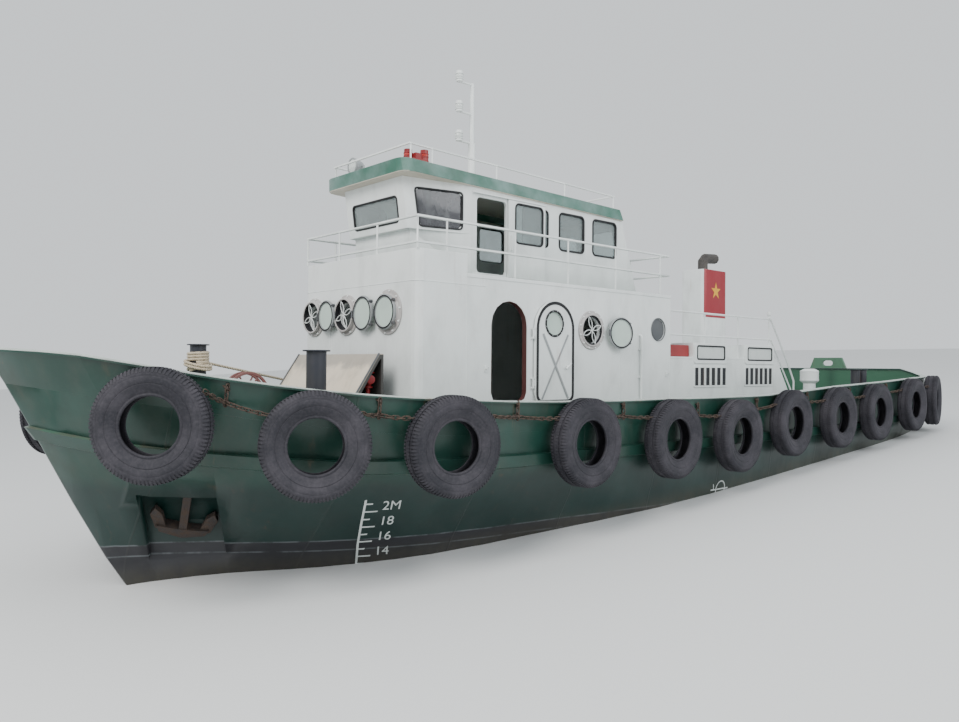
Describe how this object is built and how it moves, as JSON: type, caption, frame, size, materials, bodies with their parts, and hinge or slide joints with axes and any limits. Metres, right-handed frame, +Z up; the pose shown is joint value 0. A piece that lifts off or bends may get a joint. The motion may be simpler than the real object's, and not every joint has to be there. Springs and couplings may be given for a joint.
{
  "type": "harbour tugboat",
  "caption": "Steel harbour tug afloat, trimmed by the stern, with raked stem, tyre fenders, white deckhouse and wheelhouse, engine casing, funnel, mast, rudder and propeller.",
  "frame": {"origin": "on the centreline at the waterline amidships", "axes": "+X forward, level with the water, +Y to port, +Z up from the water"},
  "size_m": [21.0729, 6.504, 9.7524],
  "materials": {
    "hull_paint": "semi-gloss",
    "underwater_paint": "matt",
    "white_paint": "semi-gloss",
    "green_paint": "semi-gloss",
    "blue_paint": "semi-gloss",
    "cream_paint": "matt",
    "red_paint": "semi-gloss",
    "grey_paint": "semi-gloss",
    "rusty_iron": "rough",
    "steel": "brushed",
    "bronze": "satin",
    "tyre_rubber": "matt",
    "rope": "fibrous",
    "glass": "polished",
    "rubber_seal": "matt"
  },
  "bodies": {
    "tug": {"hull": "hull_paint", "skeg": "underwater_paint", "rub_strake_port": "hull_paint", "rub_strake_starboard": "hull_paint", "bulwark_port": "hull_paint", "bulwark_starboard": "hull_paint", "cap_rail_port": "white_paint", "cap_rail_starboard": "white_paint", "tyre_fenders_port": "tyre_rubber", "tyre_fenders_starboard": "tyre_rubber", "anchor_port": "rusty_iron", "anchor_starboard": "rusty_iron", "bow_rope_turns": "rope", "bow_rope_lead": "rope", "bow_rope_coil": "rope", "deckhouse_front": "white_paint", "deckhouse_side_port": "white_paint", "deckhouse_side_starboard": "white_paint", "deckhouse_aft": "white_paint", "boat_deck": "green_paint", "wheelhouse_front": "white_paint", "wheelhouse_side_port": "white_paint", "wheelhouse_side_starboard": "white_paint", "wheelhouse_aft": "white_paint", "wheelhouse_roof": "green_paint", "helm_console": "grey_paint", "boat_deck_rail": "white_paint", "roof_rail": "white_paint", "mast": "white_paint", "floodlight": "grey_paint", "roof_lamps": "red_paint", "engine_casing_side_port": "white_paint", "engine_casing_side_starboard": "white_paint", "engine_casing_aft": "white_paint", "engine_casing_top": "white_paint", "engine": "grey_paint", "funnel": "red_paint", "exhaust": "steel", "casing_rail_port": "white_paint", "casing_rail_starboard": "white_paint", "aft_ladder": "green_paint", "deck_box": "red_paint", "bow_bollard_port": "blue_paint", "bow_bollard_starboard": "blue_paint", "foredeck_hood": "cream_paint", "windlass": "red_paint", "stern_bollards_port": "blue_paint", "stern_bollards_starboard": "blue_paint", "towing_bitt": "rusty_iron", "ventilator": "grey_paint", "stern_chock": "green_paint"},
    "propeller": {"propeller": "bronze"},
    "rudder": {"rudder": "underwater_paint"},
    "deckhouse_door_port": {"deckhouse_door_port": "white_paint"},
    "deckhouse_door_starboard": {"deckhouse_door_starboard": "white_paint"},
    "wheelhouse_door_port": {"wheelhouse_door_port": "white_paint"},
    "wheelhouse_door_starboard": {"wheelhouse_door_starboard": "white_paint"}
  },
  "joints": [
    {"name": "propeller_spin", "type": "hinge", "parent": "tug", "child": "propeller", "pos_m": [-8.5261, 0, -1.41366], "axis": [0.9979, 0, 0.0651], "continuous": true},
    {"name": "rudder_turn", "type": "hinge", "parent": "tug", "child": "rudder", "pos_m": [-9.48384, 0, -1.32578], "axis": [-0.0651, 0, 0.9979], "range_deg": [-35, 35]},
    {"name": "deckhouse_door_port_swing", "type": "hinge", "parent": "tug", "child": "deckhouse_door_port", "pos_m": [3.19215, 1.57, 2.60719], "axis": [-0.0651, 0, 0.9979], "range_deg": [-180, 0]},
    {"name": "deckhouse_door_starboard_swing", "type": "hinge", "parent": "tug", "child": "deckhouse_door_starboard", "pos_m": [3.19215, -1.57, 2.60719], "axis": [-0.0651, 0, 0.9979], "range_deg": [0, 180]},
    {"name": "wheelhouse_door_port_slide", "type": "slide", "parent": "tug", "child": "wheelhouse_door_port", "axis": [0.9979, 0, 0.0651], "range_m": [0, 0.69]},
    {"name": "wheelhouse_door_starboard_slide", "type": "slide", "parent": "tug", "child": "wheelhouse_door_starboard", "axis": [0.9979, 0, 0.0651], "range_m": [0, 0.69]}
  ]
}
